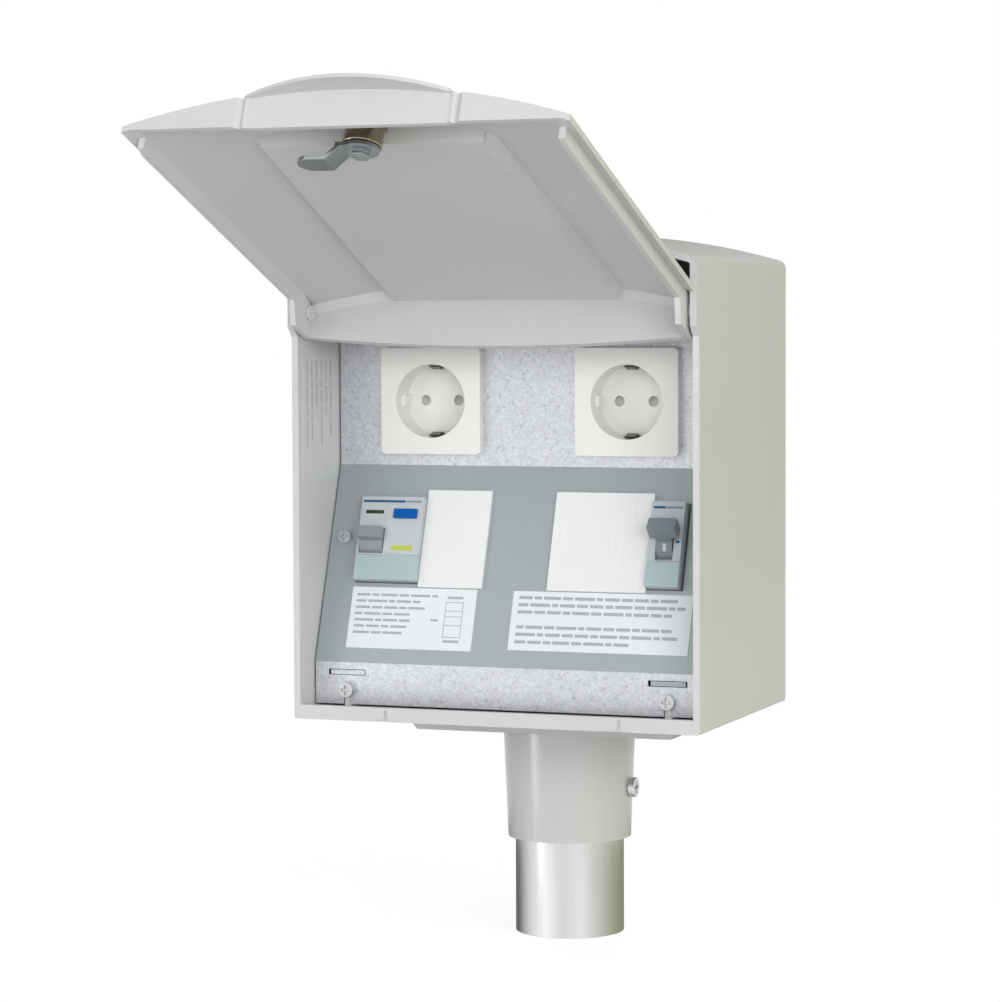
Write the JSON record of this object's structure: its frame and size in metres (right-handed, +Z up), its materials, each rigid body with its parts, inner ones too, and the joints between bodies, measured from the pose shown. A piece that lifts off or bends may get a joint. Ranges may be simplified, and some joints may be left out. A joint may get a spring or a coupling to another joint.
{
  "type": "garden socket post",
  "caption": "Outdoor outlet box on a round post: vaulted housing with a lift-up lid and cam lock, recessed sockets and a sloped panel with breaker and residual-current device.",
  "frame": {"origin": "on the post axis at the lower end of the post stub", "axes": "+X to the right seen from the front, +Y to the back, +Z up along the post"},
  "size_m": [0.225, 0.3567, 0.4509],
  "materials": {
    "shell": "fine matt",
    "lid_shell": "fine matt",
    "pin_steel": "bright zinc",
    "lock_brass": "nickel over brass",
    "cam_zinc": "bright zinc",
    "galvanised": "galvanised",
    "socket_white": "gloss",
    "base_ivory": "matt",
    "contact_brass": "bright",
    "device_grey": "matt",
    "lever_grey": "matt",
    "button_blue": "gloss",
    "window_clear": "clear, faintly green",
    "strip_white": "satin",
    "label_white": "paper film",
    "terminal_green": "matt",
    "wire_brown": "insulation",
    "wire_blue": "insulation",
    "wire_earth": "insulation",
    "grommet_rubber": "matt",
    "collar_cast": "satin, moulded",
    "post_metal": "drawn, satin"
  },
  "bodies": {
    "base": {"housing_left": "shell", "housing_right": "shell", "housing_roof": "shell", "housing_floor": "shell", "housing_back": "shell", "hinge_pins": "pin_steel", "top_screws": "pin_steel", "lip_screws": "pin_steel", "socket_screws": "pin_steel", "rail_screws": "pin_steel", "rail_back_screws": "pin_steel", "terminal_screws": "pin_steel", "flange_screws": "pin_steel", "flange_nuts": "pin_steel", "clamp_screw": "pin_steel", "chassis_panel": "galvanised", "chassis_slope": "galvanised", "chassis_lip": "galvanised", "din_rail": "galvanised", "rail_standoffs": "galvanised", "socket_left": "socket_white", "socket_right": "socket_white", "socket_base_left": "base_ivory", "socket_base_right": "base_ivory", "earth_clips": "contact_brass", "contact_sleeves": "contact_brass", "rcd_body": "device_grey", "mcb_body": "device_grey", "rcd_label_window": "window_clear", "mcb_label_window": "window_clear", "blanking_strip_left": "strip_white", "blanking_strip_right": "strip_white", "label_left": "label_white", "label_right": "label_white", "label_side": "label_white", "terminal_block": "terminal_green", "live_wires": "wire_brown", "neutral_wires": "wire_blue", "earth_wires": "wire_earth", "cable_grommet": "grommet_rubber", "mount_flange": "collar_cast", "post_collar": "collar_cast", "post_tube": "post_metal"},
    "lid": {"lid": "lid_shell", "lock_barrel": "lock_brass", "lock_nut": "lock_brass"},
    "lock": {"lock_plug": "lock_brass", "lock_cam": "cam_zinc", "cam_screw": "cam_zinc"},
    "rcd_lever": {"rcd_lever": "lever_grey"},
    "mcb_lever": {"mcb_lever": "lever_grey"},
    "rcd_button": {"rcd_button": "button_blue"}
  },
  "joints": [
    {"name": "lid_hinge", "type": "hinge", "parent": "base", "child": "lid", "pos_m": [0, -0.116, 0.342], "axis": [1, 0, 0], "range_deg": [0, 112]},
    {"name": "lock_turn", "type": "hinge", "parent": "lid", "child": "lock", "pos_m": [0.002, -0.29252, 0.41763], "axis": [0, -0.3746, -0.9272], "range_deg": [-90, 0]},
    {"name": "rcd_lever_turn", "type": "hinge", "parent": "base", "child": "rcd_lever", "pos_m": [-0.0818, -0.07928, 0.21857], "axis": [1, 0, 0], "range_deg": [0, 40]},
    {"name": "mcb_lever_turn", "type": "hinge", "parent": "base", "child": "mcb_lever", "pos_m": [0.083, -0.07899, 0.21942], "axis": [1, 0, 0], "range_deg": [0, 55]},
    {"name": "rcd_button_press", "type": "slide", "parent": "base", "child": "rcd_button", "axis": [0, 0.945, -0.3271], "range_m": [0, 0.0016], "stiffness_N_per_m": 800}
  ]
}
